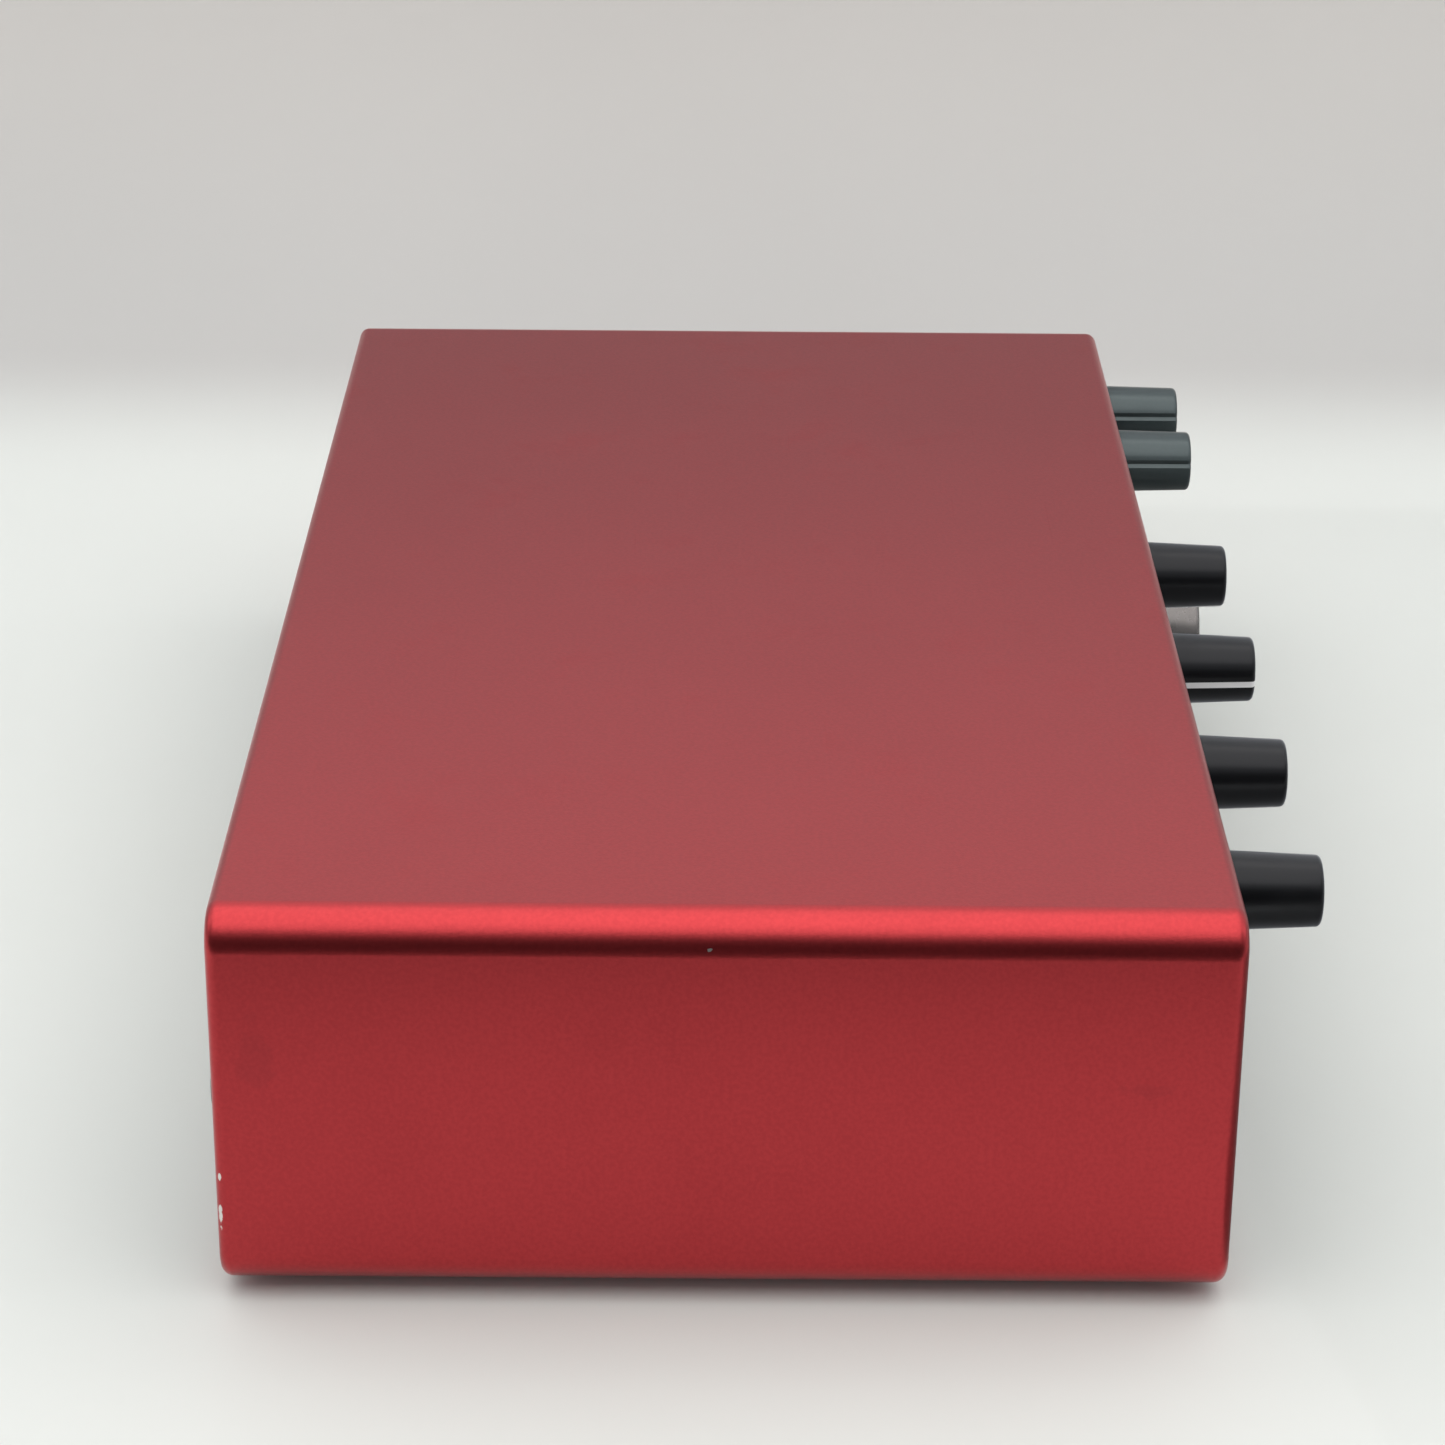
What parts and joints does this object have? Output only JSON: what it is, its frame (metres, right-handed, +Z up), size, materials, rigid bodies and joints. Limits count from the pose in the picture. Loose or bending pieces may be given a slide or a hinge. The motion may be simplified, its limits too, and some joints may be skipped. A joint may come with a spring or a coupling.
{
  "type": "audio interface",
  "caption": "Low desktop audio interface: red extruded sleeve, front panel of knobs, push buttons and sockets, rear panel of jacks and ports, rubber feet.",
  "frame": {"origin": "centre of the part's footprint, on the surface its feet stand on", "axes": "+X to the right seen from the front, front panel faces -Y, +Z up"},
  "size_m": [0.272, 0.1722, 0.064],
  "materials": {
    "red_anodised": "fine bead-blasted and anodised",
    "black_panel": "fine matte",
    "black_steel": "fine powder coat",
    "foot_rubber": "matte",
    "black_screw": "black oxide",
    "board": "solder mask",
    "zinc": "plated",
    "bright_steel": "plated",
    "socket_plastic": "moulded",
    "jack_plastic": "moulded",
    "dark_nickel": "dark nickel",
    "black_knob": "soft-touch matte",
    "gray_knob": "dark satin",
    "button_plastic": "moulded",
    "light_pipe": "frosted clear",
    "gold_plate": "gold plated",
    "port_steel": "stamped",
    "chip_black": "moulded",
    "capacitor_sleeve": "shrink sleeve",
    "ribbon_gray": "flat ribbon"
  },
  "bodies": {
    "case": {"sleeve": "red_anodised", "front_panel": "black_panel", "rear_panel": "black_steel", "foot_front_left": "foot_rubber", "foot_front_right": "foot_rubber", "foot_rear_left": "foot_rubber", "foot_rear_right": "foot_rubber", "floor_screws": "black_screw", "rear_screws": "black_screw", "control_board": "board", "input_board": "board", "main_board": "board", "board_standoffs": "zinc", "combo_jack_1": "socket_plastic", "combo_jack_2": "socket_plastic", "combo_jack_3": "socket_plastic", "combo_jack_4": "socket_plastic", "phones_jack_1": "jack_plastic", "phones_jack_2": "jack_plastic", "front_jack_nuts": "dark_nickel", "gain_pots": "zinc", "output_pots": "zinc", "tact_switches": "button_plastic", "light_pipes": "light_pipe", "line_out_jacks": "jack_plastic", "line_in_jacks": "jack_plastic", "rear_jack_nuts": "dark_nickel", "coaxial_block": "socket_plastic", "coaxial_barrels": "gold_plate", "midi_out_socket": "socket_plastic", "midi_in_socket": "socket_plastic", "optical_socket": "socket_plastic", "data_socket": "port_steel", "power_inlet": "socket_plastic", "switch_frame": "button_plastic", "chips": "chip_black", "capacitors": "capacitor_sleeve", "ribbon_cable": "ribbon_gray"},
    "gain_1_control": {"knob_gain_1": "black_knob", "shaft_gain_1": "bright_steel"},
    "gain_2_control": {"knob_gain_2": "black_knob", "shaft_gain_2": "bright_steel"},
    "gain_3_control": {"knob_gain_3": "black_knob", "shaft_gain_3": "bright_steel"},
    "gain_4_control": {"knob_gain_4": "black_knob", "shaft_gain_4": "bright_steel"},
    "monitor_control": {"knob_monitor": "gray_knob", "shaft_monitor": "bright_steel"},
    "phones_1_control": {"knob_phones_1": "gray_knob", "shaft_phones_1": "bright_steel"},
    "phones_2_control": {"knob_phones_2": "gray_knob", "shaft_phones_2": "bright_steel"},
    "button_channel_1": {"button_channel_1": "button_plastic"},
    "button_channel_2": {"button_channel_2": "button_plastic"},
    "button_channel_3": {"button_channel_3": "button_plastic"},
    "button_channel_4": {"button_channel_4": "button_plastic"},
    "button_mute": {"button_mute": "button_plastic"},
    "power_rocker": {"power_rocker": "button_plastic"}
  },
  "joints": [
    {"name": "gain_1_turn", "type": "hinge", "parent": "case", "child": "gain_1_control", "pos_m": [-0.1011, -0.07045, 0.0524], "axis": [0, 1, 0], "range_deg": [0, 300]},
    {"name": "gain_2_turn", "type": "hinge", "parent": "case", "child": "gain_2_control", "pos_m": [-0.0583, -0.07045, 0.0524], "axis": [0, 1, 0], "range_deg": [0, 300]},
    {"name": "gain_3_turn", "type": "hinge", "parent": "case", "child": "gain_3_control", "pos_m": [-0.0155, -0.07045, 0.0524], "axis": [0, 1, 0], "range_deg": [-53.6, 246.4]},
    {"name": "gain_4_turn", "type": "hinge", "parent": "case", "child": "gain_4_control", "pos_m": [0.0273, -0.07045, 0.0524], "axis": [0, 1, 0], "range_deg": [0, 300]},
    {"name": "monitor_turn", "type": "hinge", "parent": "case", "child": "monitor_control", "pos_m": [0.064, -0.07045, 0.026], "axis": [0, 1, 0], "range_deg": [0, 300]},
    {"name": "phones_1_turn", "type": "hinge", "parent": "case", "child": "phones_1_control", "pos_m": [0.0877, -0.07045, 0.0524], "axis": [0, 1, 0], "range_deg": [-73.5, 226.5]},
    {"name": "phones_2_turn", "type": "hinge", "parent": "case", "child": "phones_2_control", "pos_m": [0.1139, -0.07045, 0.0524], "axis": [0, 1, 0], "range_deg": [-77.4, 222.6]},
    {"name": "button_channel_1_press", "type": "slide", "parent": "case", "child": "button_channel_1", "axis": [0, 1, 0], "range_m": [0, 0.0008], "stiffness_N_per_m": 1500, "springref_m": -0.0003},
    {"name": "button_channel_2_press", "type": "slide", "parent": "case", "child": "button_channel_2", "axis": [0, 1, 0], "range_m": [0, 0.0008], "stiffness_N_per_m": 1500, "springref_m": -0.0003},
    {"name": "button_channel_3_press", "type": "slide", "parent": "case", "child": "button_channel_3", "axis": [0, 1, 0], "range_m": [0, 0.0008], "stiffness_N_per_m": 1500, "springref_m": -0.0003},
    {"name": "button_channel_4_press", "type": "slide", "parent": "case", "child": "button_channel_4", "axis": [0, 1, 0], "range_m": [0, 0.0008], "stiffness_N_per_m": 1500, "springref_m": -0.0003},
    {"name": "button_mute_press", "type": "slide", "parent": "case", "child": "button_mute", "axis": [0, 1, 0], "range_m": [0, 0.0008], "stiffness_N_per_m": 1500, "springref_m": -0.0003},
    {"name": "power_rocker_tip", "type": "hinge", "parent": "case", "child": "power_rocker", "pos_m": [0.1194, 0.07515, 0.0301], "axis": [-1, 0, 0], "range_deg": [0, 16]}
  ]
}
